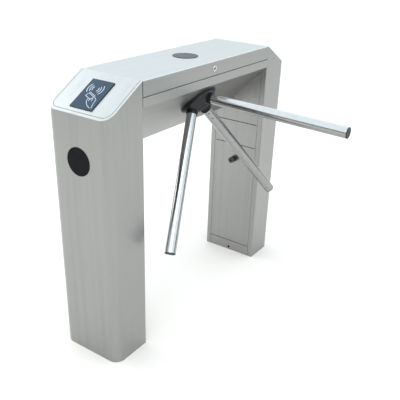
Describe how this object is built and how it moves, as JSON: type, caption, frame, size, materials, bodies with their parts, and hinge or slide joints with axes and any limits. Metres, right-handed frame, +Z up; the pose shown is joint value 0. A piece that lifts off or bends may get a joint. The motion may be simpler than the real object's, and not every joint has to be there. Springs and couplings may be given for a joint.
{
  "type": "tripod turnstile",
  "caption": "Bridge tripod turnstile: two steel pedestals with sloped tops, a box beam, and a hub with polished arms on its slanted underside.",
  "frame": {"origin": "on the floor, at the middle of the rectangle of outer floor anchors, under the middle of the beam", "axes": "+X along the beam, from the near pedestal to the far one; -Y towards the arm side; +Z up"},
  "size_m": [1.103, 0.7727, 0.9815],
  "materials": {
    "brushed_stainless": "fine straight grain, satin",
    "galvanised_steel": "dull zinc",
    "dark_lock_metal": "dark satin",
    "smoked_lens": "smoked, glossy",
    "reader_glass": "dark printed glass",
    "black_plastic": "fine moulded texture",
    "zinc_fastener": "bright zinc",
    "lock_nickel": "nickel plated",
    "circuit_board": "solder mask",
    "hub_paint": "dark grey satin paint on a casting",
    "polished_tube": "polished stainless",
    "black_screw": "black oxide",
    "ground_steel": "ground",
    "cast_aluminium": "as machined",
    "gear_brass": "machined",
    "spring_steel": "drawn wire",
    "coil_housing": "dark red enamel",
    "supply_case": "perforated sheet"
  },
  "bodies": {
    "cabinet": {"near_pedestal_shell": "brushed_stainless", "far_pedestal_shell": "brushed_stainless", "near_head_plate": "brushed_stainless", "far_head_plate": "brushed_stainless", "near_mid_panel": "brushed_stainless", "far_mid_panel": "brushed_stainless", "near_plinth_panel": "brushed_stainless", "far_plinth_panel": "brushed_stainless", "near_base_plate": "galvanised_steel", "far_base_plate": "galvanised_steel", "plinth_screws": "zinc_fastener", "door_hinge_pins": "zinc_fastener", "bridge_trough": "brushed_stainless", "bridge_bolts": "zinc_fastener", "near_end_lens": "smoked_lens", "far_end_lens": "smoked_lens", "end_indicator_boards": "circuit_board", "lid_hinge_fixed_leaf": "zinc_fastener", "lid_hinge_pin": "zinc_fastener", "hub_bezel": "hub_paint", "shaft_bearings": "ground_steel", "mechanism_frame": "cast_aluminium", "mechanism_rear_plate": "cast_aluminium", "rotary_damper": "black_plastic", "centring_spring": "spring_steel", "entry_solenoid": "coil_housing", "exit_solenoid": "coil_housing", "control_board": "circuit_board", "power_supply": "supply_case"},
    "near_door": {"near_door": "brushed_stainless", "near_lock_body": "dark_lock_metal"},
    "far_door": {"far_door": "brushed_stainless", "far_lock_body": "dark_lock_metal"},
    "near_lock": {"near_lock_knob": "dark_lock_metal"},
    "far_lock": {"far_lock_knob": "dark_lock_metal"},
    "lid": {"lid": "brushed_stainless", "lid_hinge_moving_leaf": "zinc_fastener", "lid_lock_body": "lock_nickel", "near_reader_glass": "reader_glass", "far_reader_glass": "reader_glass", "near_reader_body": "black_plastic", "far_reader_body": "black_plastic", "top_lens": "smoked_lens", "top_indicator_board": "circuit_board"},
    "lid_lock": {"lid_lock_plug": "lock_nickel"},
    "hub": {"hub_casting": "hub_paint", "hub_face_plate": "hub_paint", "arm_1": "polished_tube", "arm_2": "polished_tube", "arm_3": "polished_tube", "arm_collars": "black_plastic", "arm_end_caps": "black_plastic", "arm_screws": "black_screw", "main_shaft": "ground_steel", "main_gear": "gear_brass", "index_disc": "ground_steel"},
    "crank": {"crank": "gear_brass"},
    "entry_bolt": {"entry_lock_bolt": "ground_steel"},
    "exit_bolt": {"exit_lock_bolt": "ground_steel"}
  },
  "joints": [
    {"name": "hub_spin", "type": "hinge", "parent": "cabinet", "child": "hub", "pos_m": [0, -0.062, 0.831], "axis": [0, -0.7071, -0.7071], "continuous": true},
    {"name": "crank_spin", "type": "hinge", "parent": "cabinet", "child": "crank", "pos_m": [0.072, -0.062, 0.831], "axis": [0, -0.7071, -0.7071], "continuous": true, "deforming": ["centring_spring"]},
    {"name": "entry_bolt_slide", "type": "slide", "parent": "cabinet", "child": "entry_bolt", "axis": [0.866, -0.3536, 0.3536], "range_m": [0, 0.01], "stiffness_N_per_m": 150},
    {"name": "exit_bolt_slide", "type": "slide", "parent": "cabinet", "child": "exit_bolt", "axis": [0, -0.7071, 0.7071], "range_m": [0, 0.01], "stiffness_N_per_m": 150},
    {"name": "lid_hinge", "type": "hinge", "parent": "cabinet", "child": "lid", "pos_m": [0, 0.124, 0.976], "axis": [-1, 0, 0], "range_deg": [0, 90]},
    {"name": "lid_lock_turn", "type": "hinge", "parent": "lid", "child": "lid_lock", "pos_m": [0, -0.128, 0.954], "axis": [0, 1, 0], "range_deg": [0, 90]},
    {"name": "near_door_hinge", "type": "hinge", "parent": "cabinet", "child": "near_door", "pos_m": [-0.4, 0, 0.058], "axis": [0, 1, 0], "range_deg": [0, 40]},
    {"name": "far_door_hinge", "type": "hinge", "parent": "cabinet", "child": "far_door", "pos_m": [0.4, 0, 0.058], "axis": [0, -1, 0], "range_deg": [0, 40]},
    {"name": "near_lock_turn", "type": "hinge", "parent": "near_door", "child": "near_lock", "pos_m": [-0.4, 0, 0.47], "axis": [1, 0, 0], "range_deg": [0, 90]},
    {"name": "far_lock_turn", "type": "hinge", "parent": "far_door", "child": "far_lock", "pos_m": [0.4, 0, 0.47], "axis": [1, 0, 0], "range_deg": [0, 90]}
  ],
  "couplings": [
    {"joint": "crank_spin", "follows": "hub_spin", "ratio": -3}
  ]
}
